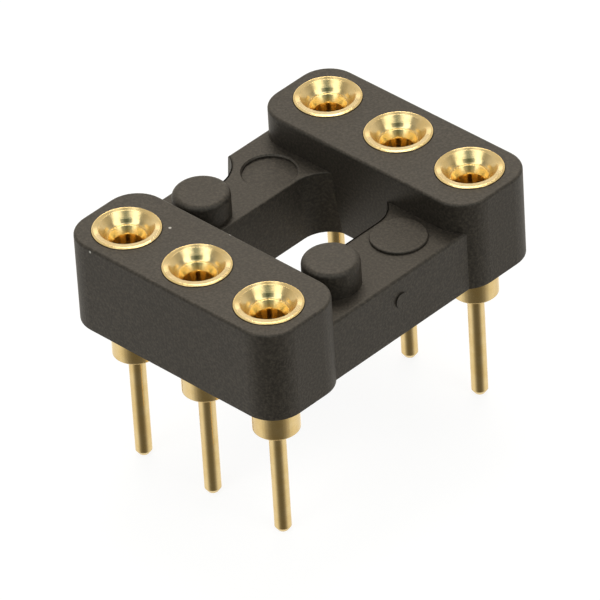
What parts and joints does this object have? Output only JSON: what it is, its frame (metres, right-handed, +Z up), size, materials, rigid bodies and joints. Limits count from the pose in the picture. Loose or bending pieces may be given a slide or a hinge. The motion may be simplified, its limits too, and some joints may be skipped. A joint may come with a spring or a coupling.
{
  "type": "ic socket",
  "caption": "Open-frame dual-in-line IC socket: two moulded rails joined by crossbars, with turned contact sleeves, sprung clips inside them and straight solder tails.",
  "frame": {"origin": "centre of the footprint on the board plane, where the sleeves' shoulders rest", "axes": "+X along the contact rows, away from the notched pin-1 end; +Y across the rows, from pins 1 to 3 towards pins 4 to 6; +Z up, out of the funnels"},
  "size_m": [0.0076, 0.0102, 0.0073],
  "materials": {
    "insulator": "matte moulded, fine grain",
    "sleeve_gold": "gold plated, satin turned",
    "clip_gold": "gold plated, smooth rolled strip"
  },
  "bodies": {
    "root": {"insulator": "insulator", "sleeve_1": "sleeve_gold", "sleeve_2": "sleeve_gold", "sleeve_3": "sleeve_gold", "sleeve_4": "sleeve_gold", "sleeve_5": "sleeve_gold", "sleeve_6": "sleeve_gold", "spring_clip_1": "clip_gold", "spring_clip_2": "clip_gold", "spring_clip_3": "clip_gold", "spring_clip_4": "clip_gold", "spring_clip_5": "clip_gold", "spring_clip_6": "clip_gold"}
  },
  "joints": []
}
